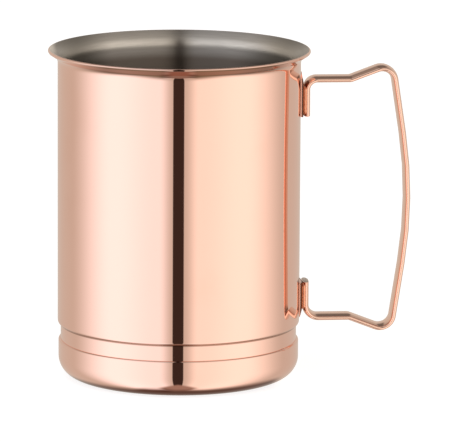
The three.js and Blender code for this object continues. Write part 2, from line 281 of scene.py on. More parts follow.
def wear_edges(mesh, edges, width, slot_index):
    bmesh.ops.bevel(
        mesh, geom=edges, offset=width, offset_type="OFFSET", segments=2, profile=0.5,
        affect="EDGES", material=slot_index, clamp_overlap=True,
    )


def add_object(name, data, finishes=()):
    for finish in finishes:
        data.materials.append(finish)
    made = bpy.data.objects.new(name, data)
    bpy.context.scene.collection.objects.link(made)
    return made


def finished_mesh(name, mesh):
    data = bpy.data.meshes.new(name)
    mesh.to_mesh(data)
    mesh.free()
    return data


def add_piece(name, mesh, nodes, finishes):
    """Makes a piece of a bmesh, lets it stand for its CAD nodes and gives it its finishes."""
    bmesh.ops.remove_doubles(mesh, verts=mesh.verts, dist=MERGE_DISTANCE)
    bmesh.ops.recalc_face_normals(mesh, faces=mesh.faces)
    data = finished_mesh(name, mesh)
    data.shade_smooth()
    data.set_sharp_from_angle(angle=SHARP_ANGLE)
    piece = add_object(name, data, finishes)
    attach(piece, BODY)
    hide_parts(*nodes)


# The lip: both sheets run up at the flare's angle and end in one round bead

class Lip:
    def __init__(self, sizes):
        self.lean = sizes.flare_angle
        self.bead_radius = (sizes.copper_sheet + sizes.seam_gap + sizes.steel_sheet) / 2
        self.bead = Vector((
            sizes.body_radius + sizes.lip_reach - self.bead_radius,
            sizes.height - self.bead_radius,
        ))
        self.along = Vector((math.sin(self.lean), math.cos(self.lean)))
        self.across = Vector((math.cos(self.lean), -math.sin(self.lean)))

    def on_flare(self, offset, radius):
        """The point of a flared face, this far outside the bead's centre, where it reaches a radius."""
        start = self.bead + self.across * offset
        return start + self.along * ((radius - start.x) / self.along.x)

    def neck_centre(self, offset, wall_radius, bend_radius):
        """The centre of the bend between a wall and its flared face."""
        top = self.on_flare(offset, wall_radius + bend_radius * (1 - math.cos(self.lean)))
        return wall_radius + bend_radius, top.y - bend_radius * math.sin(self.lean)


def body_section(mesh, sizes):
    lip = Lip(sizes)
    sheet, half_gap = sizes.copper_sheet, sizes.seam_gap / 2
    neck = lip.neck_centre(lip.bead_radius, sizes.body_radius, sizes.flare_radius)
    edge_radius = sizes.body_edge_radius
    edge_centre = (sizes.body_radius - edge_radius, sizes.body_edge_height + edge_radius)
    trimmed = sizes.body_radius - sizes.step_depth + sizes.seam_gap
    reach = trimmed - edge_centre[0]
    inner_radius = max(edge_radius - sheet, LEAST_RADIUS)

    def turn_for(radius):
        return math.acos(min(max(reach / radius, 0), 1))

    outer_turn, inner_turn = turn_for(edge_radius), turn_for(inner_radius)
    crest = math.acos(half_gap / lip.bead_radius)
    hem = lip.on_flare(lip.bead_radius - sheet, lip.bead.x + half_gap)
    straight = math.pi - lip.lean
    start = edge_centre[1] - edge_radius * math.sin(outer_turn)
    section = Section(mesh, trimmed, start)
    section.arc(edge_centre, edge_radius, -outer_turn, 0)
    section.arc(neck, sizes.flare_radius, math.pi, straight)
    section.arc(lip.bead, lip.bead_radius, -lip.lean, crest)
    section.line(hem.x, hem.y)
    section.arc(neck, sizes.flare_radius + sheet, straight, math.pi)
    section.arc(edge_centre, inner_radius, 0, -inner_turn)
    section.line(trimmed, section.tip.co.z)
    section.line(trimmed, start)


def base_section(mesh, sizes):
    sheet = sizes.copper_sheet
    collar = sizes.body_radius - sizes.step_depth
    collar_top = sizes.body_edge_height + sizes.collar_overlap
    wall = sizes.body_radius - sizes.base_inset
    rounding = min(sizes.shoulder_radius, wall - collar)
    corner = (wall - sizes.base_corner_radius, sizes.base_corner_radius)
    foot_inner = corner[0] - sizes.foot_width
    shoulder = (wall - rounding, sizes.shoulder_height - rounding)
    section = Section(mesh, 0, sizes.recess_depth)
    slope_steps = 12

    def slope(share):
        drop = (1 + math.cos(math.pi * share)) / 2
        return foot_inner - sizes.recess_slope * (1 - share), sizes.recess_depth * drop

    section.line(*slope(0))
    for step in range(1, slope_steps + 1):
        section.point(*slope(step / slope_steps))
    section.arc(corner, sizes.base_corner_radius, -math.pi / 2, 0)
    section.arc(shoulder, rounding, 0, math.pi / 2)
    section.line(collar, sizes.shoulder_height)
    section.line(collar, collar_top)
    section.line(collar - sheet, collar_top)
    section.line(collar - sheet, sizes.shoulder_height - sheet)
    section.line(wall - sheet, sizes.shoulder_height - sheet)
    section.arc(corner, sizes.base_corner_radius - sheet, 0, -math.pi / 2)
    for step in range(slope_steps, -1, -1):
        x, z = slope(step / slope_steps)
        section.point(x, z + sheet)
    section.line(0, sizes.recess_depth + sheet)


def liner_section(mesh, sizes):
    lip = Lip(sizes)
    sheet, half_gap = sizes.steel_sheet, sizes.seam_gap / 2
    wall = sizes.body_radius - sizes.step_depth - sizes.copper_sheet - sizes.seam_gap
    floor = sizes.recess_depth + sizes.copper_sheet + sizes.air_gap
    outer_face = lip.bead_radius - sizes.copper_sheet - sizes.seam_gap
    neck = lip.neck_centre(outer_face, wall, sizes.liner_neck_radius)
    corner = (wall - sizes.liner_corner_radius, floor + sizes.liner_corner_radius)
    straight = math.pi - lip.lean
    hem = lip.on_flare(outer_face, lip.bead.x - half_gap)
    section = Section(mesh, 0, floor)
    section.arc(corner, sizes.liner_corner_radius, -math.pi / 2, 0)
    section.arc(neck, sizes.liner_neck_radius, math.pi, straight)
    section.line(hem.x, hem.y)
    section.arc(lip.bead, lip.bead_radius, math.acos(-half_gap / lip.bead_radius), straight)
    section.arc(neck, sizes.liner_neck_radius + sheet, straight, math.pi)
    section.arc(corner, sizes.liner_corner_radius - sheet, 0, -math.pi / 2)
    section.line(0, floor + sheet)


def make_spun(draw, node, finish):
    """Spins a section round the mug's axis."""
    scene = bpy.context.scene
    mesh = bmesh.new()
    draw(mesh, scene.mug_sizes)
    bmesh.ops.spin(
        mesh, geom=mesh.verts[:] + mesh.edges[:], cent=(0, 0, 0), axis=(0, 0, 1), dvec=(0, 0, 0),
        angle=2 * math.pi, steps=scene.mug_smoothness.turn_steps,
        use_merge=True, use_normal_flip=False, use_duplicate=False,
    )
    add_piece(node + "_smooth", mesh, [node], [finish])


# The strap and what joins it to the wall

def joint_places(sizes, handle):
    """Radii and heights that the strap, the plates and the braze seams share."""
    plate_inner = sizes.body_radius + sizes.seam_gap
    plate_outer = plate_inner + handle.plate_thickness
    upper_run = sizes.height - handle.upper_run_drop
    return {
        "plate_inner": plate_inner,
        "plate_outer": plate_outer,
        "leg": plate_outer + sizes.seam_gap + handle.strap_thickness / 2,
        "upper_run": upper_run,
        "upper_end": upper_run - handle.upper_leg,
        "lower_end": handle.lower_run_height + handle.lower_leg,
    }


def strap_corners(sizes, handle):
    """The corners of the strap's middle line as (x, z, bend radius), from the upper cut end on."""
    places = joint_places(sizes, handle)
    run_end = sizes.body_radius + handle.run_reach
    outer = sizes.body_radius + handle.corner_reach
    upper = places["upper_run"] + handle.upper_rise
    lower = handle.lower_run_height - handle.lower_drop
    return [
        (places["leg"], places["upper_end"], 0),
        (places["leg"], places["upper_run"], handle.upper_leg_bend),
        (run_end, places["upper_run"], handle.slope_bend),
        (outer, upper, handle.corner_bend),
        (sizes.body_radius + handle.grip_reach, (upper + lower) / 2, handle.bow_radius),
        (outer, lower, handle.corner_bend),
        (run_end, handle.lower_run_height, handle.slope_bend),
        (places["leg"], handle.lower_run_height, handle.lower_leg_bend),
        (places["leg"], places["lower_end"], 0),
    ]


class Strap:
    """A ring of edges, the strap's section, that is pushed along straights and spun round bends."""

    def __init__(self, mesh, handle, start, direction):
        self.mesh = mesh
        sides = bpy.context.scene.mug_smoothness.strap_sides
        fullness = handle.strap_fullness
        bmesh.ops.create_circle(mesh, cap_ends=True, radius=0.5, segments=sides)
        for vert in mesh.verts:
            reach = abs(2 * vert.co.x) ** fullness + abs(2 * vert.co.y) ** fullness
            vert.co /= reach ** (1 / fullness)
        bmesh.ops.scale(mesh, verts=mesh.verts, vec=(handle.strap_thickness, handle.strap_width, 1))
        wide = Vector((0, 1, 0))
        turned = Matrix((wide.cross(direction), wide, direction)).transposed()
        bmesh.ops.rotate(mesh, verts=mesh.verts, cent=(0, 0, 0), matrix=turned)
        bmesh.ops.translate(mesh, verts=mesh.verts, vec=start)
        self.ring = mesh.edges[:]
        self.place = start.copy()

    def push(self, end):
        made = bmesh.ops.extrude_edge_only(self.mesh, edges=self.ring)
        verts = only(made["geom"], bmesh.types.BMVert)
        bmesh.ops.translate(self.mesh, verts=verts, vec=end - self.place)
        moved = set(verts)
        self.ring = [edge for edge in only(made["geom"], bmesh.types.BMEdge) if moved.issuperset(edge.verts)]
        self.place = end.copy()

    def straight(self, end):
        for place in straight_points(self.place, end):
            self.push(place)

    def bend(self, centre, turn):
        """Turns round a centre in the plane of x and z, by an angle from x towards z."""
        verts = list({vert for edge in self.ring for vert in edge.verts})
        far_end = spin_bend(self.mesh, verts + self.ring, centre, turn)
        self.ring = only(far_end, bmesh.types.BMEdge)
        self.place = centre + Matrix.Rotation(-turn, 3, "Y") @ (self.place - centre)


def make_strap(finishes):
    scene = bpy.context.scene
    handle = scene.mug_handle
    corners = [(Vector((x, 0, z)), bend) for x, z, bend in strap_corners(scene.mug_sizes, handle)]
    mesh = bmesh.new()
    first = (corners[1][0] - corners[0][0]).normalized()
    strap = Strap(mesh, handle, corners[0][0], first)
    for (before, _), (corner, radius), (after, _) in zip(corners, corners[1:], corners[2:]):
        into = (corner - before).normalized()
        out = (after - corner).normalized()
        turn = math.atan2(into.x * out.z - into.z * out.x, into.dot(out))
        tangent = radius * math.tan(abs(turn) / 2)
        strap.straight(corner - into * tangent)
        side = Vector((-into.z, 0, into.x)) * math.copysign(radius, turn)
        strap.bend(strap.place + side, turn)
    strap.straight(corners[-1][0])
    bmesh.ops.contextual_create(mesh, geom=strap.ring)
    ends = [face for face in mesh.faces if len(face.verts) > 4]
    rims = [edge for face in ends for edge in face.edges]
    for face in ends:
        face.material_index = 1
    wear_edges(mesh, rims, handle.end_bevel, 0)
    add_piece("strap_handle_smooth", mesh, ["strap_handle"], finishes)


RIM_ANGLE = math.radians(50)
ROW_GATHERING = 1.6  # 1 spaces a plate's rows evenly, more gathers them at its free end


def make_plate(end_height, direction, plate_length, node, finish):
    """A strip that follows the wall, from the strap's cut end to the eased free end, up or down."""
    scene = bpy.context.scene
    handle = scene.mug_handle
    places = joint_places(scene.mug_sizes, handle)
    across, rows = 24, 48
    half, corner = handle.plate_width / 2, handle.plate_corner
    mesh = bmesh.new()
    bmesh.ops.create_grid(mesh, x_segments=across, y_segments=rows, size=0.5)
    faces = mesh.faces[:]
    made = bmesh.ops.extrude_face_region(mesh, geom=faces, use_keep_orig=True)
    raised = only(made["geom"], bmesh.types.BMVert)
    bmesh.ops.translate(mesh, verts=raised, vec=(0, 0, 1))
    for vert in mesh.verts:
        share = vert.co.y + 0.5
        distance = plate_length * (1 - (1 - share) ** ROW_GATHERING)
        into_corner = max(0, distance - (plate_length - corner))
        half_width = half - corner + math.sqrt(max(corner ** 2 - into_corner ** 2, 0))
        eased = min(max((distance - plate_length + handle.plate_ease) / handle.plate_ease, 0), 1)
        eased = eased * eased * (3 - 2 * eased)
        thickness = handle.plate_thickness + (handle.plate_tip - handle.plate_thickness) * eased
        radius = places["plate_inner"] + vert.co.z * thickness
        swing = 2 * vert.co.x * half_width / places["plate_inner"]
        vert.co = (
            radius * math.cos(swing), radius * math.sin(swing), end_height + direction * distance,
        )
    bmesh.ops.recalc_face_normals(mesh, faces=mesh.faces)
    rims = [edge for edge in mesh.edges if edge.is_manifold and edge.calc_face_angle() > RIM_ANGLE]
    wear_edges(mesh, rims, handle.plate_bevel, -1)
    add_piece(node + "_smooth", mesh, [node], [finish])


SEAM_HOLLOW = Vector((-0.00012, -0.0001))  # of its face, towards the mug's axis and the handle's plane
SEAM_END = 0.0011  # a seam's ends round off over this length
SEAM_TIP = 0.25  # share of its section that is left at its very ends
SEAM_UNEVENNESS = 0.10
SEAM_WAVES = 9
SEAM_SIDE_SHIFT = 3.7  # with the next one, it makes every seam uneven in its own way
SEAM_JOINT_SHIFT = 90


def make_seam(end_height, direction, contact_length, side, node, finish):
    """A hollow-faced, uneven seam of braze in the crease between a leg and its plate, with rounded ends."""
    scene = bpy.context.scene
    sizes, handle = scene.mug_sizes, scene.mug_handle
    places = joint_places(sizes, handle)
    gap = sizes.seam_gap
    half_width, half_thickness = handle.strap_width / 2 + gap, handle.strap_thickness / 2 + gap

    def plate_face(distance):
        """The plate's outer face, this far from the handle's plane."""
        radius = places["plate_outer"] + gap
        return Vector((math.sqrt(radius ** 2 - distance ** 2), distance))

    def strap_face(distance):
        """The strap's face towards the plate, this far from the handle's plane."""
        fullness = handle.strap_fullness
        depth = half_thickness * (1 - (distance / half_width) ** fullness) ** (1 / fullness)
        return Vector((places["leg"] - depth, distance))

    on_plate = plate_face(handle.seam_reach)
    on_strap = strap_face(handle.seam_reach - handle.seam_slope)
    root = plate_face(handle.seam_root)
    outline_steps, rows = 8, 40
    outline = [root]
    for step in range(outline_steps + 1):
        share = step / outline_steps
        bow = 4 * share * (1 - share)
        outline.append(on_strap.lerp(on_plate, share) + SEAM_HOLLOW * bow)
    mesh = bmesh.new()
    verts = [mesh.verts.new((place.x, place.y, 0)) for place in outline]
    face = mesh.faces.new(verts)
    seam_length = contact_length - handle.seam_inset
    for _ in range(rows):
        made = bmesh.ops.extrude_face_region(mesh, geom=[face])
        face = only(made["geom"], bmesh.types.BMFace)[0]
        bmesh.ops.translate(mesh, verts=face.verts[:], vec=(0, 0, 1 / rows))
    for vert in mesh.verts:
        share = vert.co.z
        from_end = min(share, 1 - share) * seam_length
        fullness = math.sqrt(min(from_end / SEAM_END, 1)) * (1 - SEAM_TIP) + SEAM_TIP
        waves = Vector((share * SEAM_WAVES, side * SEAM_SIDE_SHIFT, end_height * SEAM_JOINT_SHIFT))
        fullness *= 1 + SEAM_UNEVENNESS * noise.noise(waves)
        flat = root.lerp(Vector((vert.co.x, vert.co.y)), min(fullness, 1))
        height = handle.seam_inset + share * seam_length
        vert.co = (flat.x, side * flat.y, end_height + direction * height)
    add_piece(node + "_fillet", mesh, [node], [finish])


# Materials

class Value:
    """A number that varies over a surface. The usual operators add Math nodes behind it."""

    def __init__(self, nodes, socket):
        self.nodes = nodes
        self.socket = socket

    def _math(self, operation, *terms):
        return self.nodes.add("Math", dict(enumerate(terms)), operation=operation)

    def __add__(self, other):
        return self._math("ADD", self, other)

    def __radd__(self, other):
        return self._math("ADD", other, self)

    def __sub__(self, other):
        return self._math("SUBTRACT", self, other)

    def __rsub__(self, other):
        return self._math("SUBTRACT", other, self)

    def __mul__(self, other):
        return self._math("MULTIPLY", self, other)

    def __rmul__(self, other):
        return self._math("MULTIPLY", other, self)

    def __truediv__(self, other):
        return self._math("DIVIDE", self, other)

    def __rtruediv__(self, other):
        return self._math("DIVIDE", other, self)

    def __abs__(self):
        return self._math("ABSOLUTE", self)

    def above(self, limit):
        return self._math("GREATER_THAN", self, limit)

    def angle_to(self, other):
        return self._math("ARCTAN2", self, other)

    def arcsine(self):
        return self._math("ARCSINE", self)

    def most(self, other):
        return self._math("MAXIMUM", self, other)

    def least(self, other):
        return self._math("MINIMUM", self, other)

    def root(self):
        return self._math("SQRT", self)

    def spread(self, low, high):
        """Low for 0 and high for 1."""
        return self * (high - low) + low

    def ease(self, low, high):
        """0 at low, 1 at high, and a smooth rise between them."""
        sockets = {"Value": self, "From Min": low, "From Max": high}
        return self.nodes.add("MapRange", sockets, interpolation_type="SMOOTHSTEP")

    def between(self, low, high, soft):
        """1 from low to high, with soft edges."""
        return self.ease(low - soft, low + soft) * self.ease(high + soft, high - soft)


class Nodes:
    """The node tree of one material, world or floor."""

    def __init__(self, owner):
        owner.use_nodes = True
        self.tree = owner.node_tree
        self.tree.nodes.clear()

    def add(self, kind, sockets=None, out=0, **settings):
        """Adds a node: its settings, then the values or links of its sockets. Returns one of its outputs."""
        node = self.tree.nodes.new("ShaderNode" + kind)
        for name, value in settings.items():
            setattr(node, name, value)
        for name, value in (sockets or {}).items():
            if isinstance(value, Value):
                self.tree.links.new(value.socket, node.inputs[name])
            else:
                node.inputs[name].default_value = value
        return Value(self, node.outputs[out]) if len(node.outputs) else None

    def colour(self, share, first, second):
        """A blend of two colours."""
        sockets = {"Factor": share, 6: opaque(first), 7: opaque(second)}
        return self.add("Mix", sockets, out=2, data_type="RGBA")

    def place(self):
        """The surface point in the mug's own frame, as a vector and as x, y and z."""
        point = self.add("TexCoord", out="Object")
        return point, *(self.add("SeparateXYZ", {0: point}, out=axis) for axis in "XYZ")

    def speckle(self, point, scale, detail=2.0, roughness=0.5, distortion=0.0):
        sockets = {"Vector": point, "Scale": scale, "Detail": detail, "Roughness": roughness}
        return self.add("TexNoise", {**sockets, "Distortion": distortion})

    def vector(self, x, y, z):
        return self.add("CombineXYZ", {0: x, 1: y, 2: z})

    def bump(self, height, distance, strength):
        return self.add("Bump", {"Height": height, "Distance": distance, "Strength": strength}, out="Normal")


def opaque(tint):
    return tint if isinstance(tint, Value) else (*tint, 1.0)


# Where the marks, painted shade, painted reflections and painted highlights on the metals are: heights over
# the table, or distances from the mug's axis

AXIS_RADIUS = 0.001  # nearer to the axis than this, turned lines run out
NECK_LOW, NECK_HIGH = 0.1158, 0.1176  # the painted dark reflection under the lip starts and is full
NECK_FADE, NECK_GONE = 0.1193, 0.1197  # the painted reflection fades out, and the lip's bead is free of it
NECK_MIDDLE = -0.0035  # along the handle's line, the painted reflection dips and is thinned here
NECK_DIP, NECK_DIP_WIDTH = 0.0010, 0.020
THINNED_WIDTH, THINNED_CORE = 0.0065, 0.0065 / 4
SIDES_START, SIDES_FULL = 0.028, 0.042  # towards both ends, the painted reflection thins out and is gone
CREASE_LOW, CREASE_HIGH, CREASE_SOFT = 0.01905, 0.0201, 0.00015  # painted shade in the crease under the body
FOOT_SHADE_TOP, FOOT_SHADE_FADE = 0.004, 0.002  # top of the painted shade at the foot, and its fading below
FOOT_SHADE_LEAN = 0.015  # it reaches higher on the handle's side
FOOT_SHADE_END, FOOT_SHADE_SOFT = 0.034, 0.003  # and ends softly there
PATCH_MIDDLE, PATCH_RISE = -0.012, 0.0006  # away from the handle, it reaches highest here
PATCH_WIDTH, PATCH_CORE = 0.008, 0.008 / 3
PLATE_SHADE_START, PLATE_SHADE_FULL = 0.0445, 0.0448  # painted shade on the plates' outer faces, in the crevice by the strap
STEEL_DEEP, STEEL_PLAIN = 0.1095, 0.1135  # the painted shade deep in the lining is full, and it is plain satin
STEEL_SHINE, STEEL_TOP = 0.1158, 0.1202  # the painted highlight is brightest, and it is plain satin again
ENDS_START, ENDS_FULL = 0.021, 0.037  # painted shade in the lining's two ends
NEAR_START, NEAR_FULL = 0.030, 0.046  # the same in the mouth, at the handle's end
TIP_START, TIP_FULL = 0.0435, 0.0465  # painted glint at the tip of the far end


def turned_lines(nodes, x, y, z, along, lines):
    """Noise in fine rings round the mug's axis, as turning and polishing leave them."""
    radius = (x * x + y * y).root().most(AXIS_RADIUS)
    point = nodes.vector(x / radius * along, y / radius * along, (z + radius) * lines)
    return nodes.speckle(point, scale=1.0, detail=3.0, roughness=0.6)


def mirror_copper(nodes, finish, point, x, y, z):
    blotches = nodes.speckle(point, scale=38, detail=4).ease(low=0.52, high=0.95)
    tint = nodes.colour(blotches * finish.copper_tarnish, finish.copper, finish.tarnish)
    from_middle = abs(x - NECK_MIDDLE)
    dip = from_middle.ease(NECK_DIP_WIDTH, 0) * NECK_DIP
    # painted reflection under the lip: a dark band that dips and is thinned in the middle and is gone at the
    # sides
    neck = (z + dip).ease(NECK_LOW, NECK_HIGH) * z.ease(NECK_GONE, NECK_FADE)
    thinned = from_middle.ease(THINNED_WIDTH, THINNED_CORE) * finish.thinned
    at_sides = abs(x).ease(SIDES_START, SIDES_FULL)
    tint = nodes.colour(neck * (1 - thinned) * (1 - at_sides), tint, finish.neck)
    # painted shade in the crease under the body's turned-in edge
    crease = z.between(CREASE_LOW, CREASE_HIGH, CREASE_SOFT)
    tint = nodes.colour(crease * finish.flux, tint, finish.neck)
    # painted shade round the foot, for the shaded floor beside the contact
    patch = abs(x - PATCH_MIDDLE).ease(PATCH_WIDTH, PATCH_CORE)
    low = z - x * FOOT_SHADE_LEAN - patch * PATCH_RISE
    foot_shaded = low.ease(FOOT_SHADE_TOP, FOOT_SHADE_TOP - FOOT_SHADE_FADE) * x.ease(FOOT_SHADE_END + FOOT_SHADE_SOFT, FOOT_SHADE_END - FOOT_SHADE_SOFT)
    tint = nodes.colour(foot_shaded, tint, finish.foot_shade)
    smudge_blur, ring_blur, wave_share = 0.03, 0.02, 0.35
    smudges = nodes.speckle(point, scale=55, detail=5, distortion=0.6).ease(low=0.5, high=0.85)
    polish = turned_lines(nodes, x, y, z, along=3, lines=2600).ease(low=0.55, high=0.9)
    roughness = smudges * smudge_blur + polish * ring_blur + finish.copper_roughness
    rings = turned_lines(nodes, x, y, z, along=2.5, lines=1500)
    wave = nodes.speckle(point, scale=26, detail=1)
    normal = nodes.bump(rings + wave * wave_share, distance=0.00002, strength=0.12)
    return {"Base Color": tint, "Roughness": roughness, "Normal": normal}


def plate_copper(nodes, finish, point, x, y, z):
    # painted shade on the plates' outer faces, by the crevice between plate and strap
    blotches = nodes.speckle(point, scale=200, detail=3) * (PLATE_SHADE_FULL - PLATE_SHADE_START)
    plate_shaded = ((x * x + y * y).root() + blotches).ease(PLATE_SHADE_START, PLATE_SHADE_FULL)
    tint = nodes.colour(plate_shaded, finish.copper, finish.plate_shade)
    roughness = nodes.speckle(point, scale=300, detail=3).spread(low=0.06, high=0.16)
    normal = nodes.bump(nodes.speckle(point, scale=400, detail=2), distance=0.00003, strength=0.2)
    return {"Base Color": tint, "Roughness": roughness, "Normal": normal}


def strap_copper(nodes, finish, point, x, y, z):
    blotches = nodes.speckle(point, scale=60, detail=4).ease(low=0.5, high=0.95)
    tint = nodes.colour(blotches * finish.strap_tarnish, finish.strap, finish.tarnish)
    smudge_blur = 0.04
    smudges = nodes.speckle(point, scale=120, detail=5, distortion=0.6).ease(low=0.4, high=0.8)
    roughness = smudges * smudge_blur + finish.strap_roughness
    normal = nodes.bump(nodes.speckle(point, scale=90, detail=2), distance=0.00003, strength=0.15)
    return {"Base Color": tint, "Roughness": roughness, "Normal": normal}


def satin_steel(nodes, finish, point, x, y, z):
    # painted shade: the lining darker towards the bottom
    tint = nodes.colour(z.ease(STEEL_DEEP, STEEL_PLAIN), finish.steel_dark, finish.steel)
    # painted highlight: a bright band in the lining near the mouth
    mouth = z.ease(STEEL_PLAIN, STEEL_SHINE) * z.ease(STEEL_TOP, STEEL_SHINE)
    tint = nodes.colour(mouth, tint, finish.steel_highlight)
    # painted glint at the tip of the far end, which also keeps the painted shade off it
    tip = x.ease(-TIP_START, -TIP_FULL)
    # painted shade in both ends of the lining
    far_end = x.ease(-ENDS_START, -ENDS_FULL) * (1 - tip)
    near_end = x.ease(NEAR_START, NEAR_FULL)
    tint = nodes.colour((far_end + near_end) * finish.steel_end_shade_share, tint, finish.steel_end_shade)
    tint = nodes.colour(tip, tint, finish.steel_highlight)
    # more painted shade below the mouth at both ends
    ends = abs(x).ease(ENDS_START, ENDS_FULL)
    below_mouth = z.ease(STEEL_SHINE, STEEL_PLAIN)
    tint = nodes.colour(ends * below_mouth * finish.steel_deep_end_shade, tint, finish.steel_end_shade)
    scratch_share, uneven_blur = 0.2, 0.1
    scratches = turned_lines(nodes, x, y, z, along=4, lines=900).ease(low=0.25, high=0.8)
    tint = nodes.colour(scratches * scratch_share, tint, finish.steel_dark)
    uneven = turned_lines(nodes, x, y, z, along=5, lines=2400)
    roughness = uneven * uneven_blur + (finish.steel_roughness - uneven_blur / 2)
    rings = turned_lines(nodes, x, y, z, along=6, lines=3000)
    normal = nodes.bump(rings, distance=0.00003, strength=0.25)
    brushed = {"Anisotropic": finish.steel_brushing, "Anisotropic Rotation": 0.25}
    return {"Base Color": tint, "Roughness": roughness, "Normal": normal, **brushed}


def braze_metal(nodes, finish, point, x, y, z):
    flux_share = 0.55
    flux = nodes.speckle(point, scale=900, detail=4).ease(low=0.35, high=0.75)
    tint = nodes.colour(flux * flux_share, finish.braze, finish.tarnish)
    roughness = nodes.speckle(point, scale=1300, detail=3).spread(low=0.16, high=0.41)
    normal = nodes.bump(nodes.speckle(point, scale=1500, detail=3), distance=0.00006, strength=0.5)
    return {"Base Color": tint, "Roughness": roughness, "Normal": normal}


def cut_metal(nodes, finish, point, x, y, z):
    fine, coarse, shade = 9000, 500, 0.7
    marks = nodes.speckle(nodes.vector(x * fine, y * coarse, z * fine), scale=1.0)
    darker = tuple(shade * channel for channel in finish.cut_metal)
    tint = nodes.colour(marks, finish.cut_metal, darker)
    roughness = nodes.speckle(point, scale=2500).spread(low=0.3, high=0.5)
    normal = nodes.bump(marks, distance=0.00004, strength=0.6)
    return {"Base Color": tint, "Roughness": roughness, "Normal": normal}


METALS = {
    "mirror_copper": mirror_copper,
    "plate_copper": plate_copper,
    "strap_copper": strap_copper,
    "satin_steel": satin_steel,
    "braze_metal": braze_metal,
    "cut_metal": cut_metal,
}


def material(name):
    """The metal of this name, made once. Its colour, roughness and normal come from nodes."""
    if name not in bpy.data.materials:
        nodes = Nodes(bpy.data.materials.new(name))
        sockets = METALS[name](nodes, bpy.context.scene.mug_finishes, *nodes.place())
        shader = nodes.add("BsdfPrincipled", {"Metallic": 1.0, **sockets})
        nodes.add("OutputMaterial", {"Surface": shader})
    return bpy.data.materials[name]


# The studio

BOX_NEAR = 0.72  # share of a box's light that is reached at its full angle
BOX_LEAST = 0.05  # share of it that is there all the way to the middle
FADE_START, FADE_END = math.radians(12), math.radians(60)  # heights over which the light fades
GAP_SOFT = math.radians(0.5)
ROOM_SOFT = math.radians(7)
SIDE_SOFT = 0.1


def make_world(studio):
    """Soft boxes with a dark gap between them, a dark ceiling, a shaded floor and white for the camera."""
    world = bpy.data.worlds.new("studio")
    bpy.context.scene.world = world
    nodes = Nodes(world)
    ray = nodes.add("TexCoord", out="Generated")
    x, y, z = (nodes.add("SeparateXYZ", {0: ray}, out=axis) for axis in "XYZ")
    sine, cosine = math.sin(studio.camera_turn), math.cos(studio.camera_turn)
    toward = x * -sine - y * cosine
    rightward = x * cosine - y * sine
    turn = rightward.angle_to(toward)
    over = z.angle_to(toward)
    height = z.arcsine()
    aside = abs(turn)
    near = aside.ease(studio.box_start, studio.box_full) * BOX_NEAR
    far = aside.ease(studio.box_full, studio.box_peak) * (1 - BOX_NEAR - BOX_LEAST)
    box = (near + far + BOX_LEAST) * aside.ease(studio.box_end, studio.box_fade)
    room = nodes.colour(turn.above(0.0), studio.left_box, studio.right_box)
    room = nodes.colour(box, studio.surround, room)
    in_gap = turn.between(studio.gap_left, studio.gap_right, GAP_SOFT)
    room = nodes.colour(in_gap, room, studio.gap)
    fade = height.ease(FADE_START, FADE_END) * (1 - studio.high_light)
    room = nodes.colour(fade, room, BLACK)
    ceiling = over.between(studio.ceiling_start, studio.ceiling_end, ROOM_SOFT)
    ceiling = ceiling * abs(rightward).ease(studio.ceiling_side + SIDE_SOFT, studio.ceiling_side - SIDE_SOFT)
    room = nodes.colour(ceiling, room, studio.ceiling)
    limit = (aside * (1 / studio.under_side)).least(1.0) * -studio.under_drop + studio.under_middle
    room = nodes.colour((limit - height).ease(-ROOM_SOFT, ROOM_SOFT), room, studio.under)
    room = nodes.colour(nodes.add("LightPath", out="Is Camera Ray"), room, WHITE)
    nodes.add("OutputWorld", {"Surface": nodes.add("Background", {"Color": room})})


def make_floor(studio):
    """A white floor that keeps the mug's shadow, can't be seen from below and stays out of the mirrors."""
    mesh = bmesh.new()
    bmesh.ops.create_grid(mesh, x_segments=1, y_segments=1, size=studio.floor_size / 2)
    finish = bpy.data.materials.new("white_floor")
    nodes = Nodes(finish)
    seen = nodes.add("LightPath", out="Is Camera Ray")
    paper = nodes.add("BsdfDiffuse", {"Color": opaque(studio.floor_colour)})
    glow = nodes.add("Emission", {"Strength": seen * studio.floor_glow})
    top = nodes.add("AddShader", {0: paper, 1: glow})
    below = nodes.add("NewGeometry", out="Backfacing")
    clear = nodes.add("BsdfTransparent")
    nodes.add("OutputMaterial", {"Surface": nodes.add("MixShader", {0: below, 1: top, 2: clear})})
    floor = add_object("floor", finished_mesh("floor", mesh), [finish])
    floor.visible_glossy = False


def make_camera(studio):
    """The camera stands where the photograph was taken from, and its aim puts the target on its pixel."""
    data = bpy.data.cameras.new("camera")
    camera = add_object("camera", data)
    bpy.context.scene.camera = camera
    data.sensor_width = SENSOR_WIDTH
    data.lens = studio.focal_pixels * SENSOR_WIDTH / PICTURE_WIDTH
    distance, elevation, roll = studio.camera_distance, studio.camera_elevation, studio.camera_roll
    right_of_centre = studio.target_column - PICTURE_WIDTH / 2
    below_centre = studio.target_row - PICTURE_HEIGHT / 2
    aside = (right_of_centre * math.cos(roll) + below_centre * math.sin(roll)) / studio.focal_pixels
    up = (right_of_centre * math.sin(roll) - below_centre * math.cos(roll)) / studio.focal_pixels
    pitch = -elevation - math.atan(up)
    yaw = -math.atan(aside / math.sqrt(1 + up * up))
    forward = Vector((math.sin(yaw) * math.cos(pitch), math.cos(yaw) * math.cos(pitch), math.sin(pitch)))
    level = Vector((math.cos(yaw), -math.sin(yaw), 0))
    upright = level.cross(forward)
    right = level * math.cos(roll) + upright * math.sin(roll)
    above = upright * math.cos(roll) - level * math.sin(roll)
    rotation = Matrix((right, above, -forward)).transposed().to_4x4()
    target = Vector((0, 0, studio.target_height))
    back = Vector((0, -math.cos(elevation), math.sin(elevation)))
    side_view = Matrix.Translation(target + back * distance) @ rotation
    camera.matrix_world = Matrix.Rotation(-studio.camera_turn, 4, "Z") @ side_view
    data.clip_start, data.clip_end = 0.1, 20


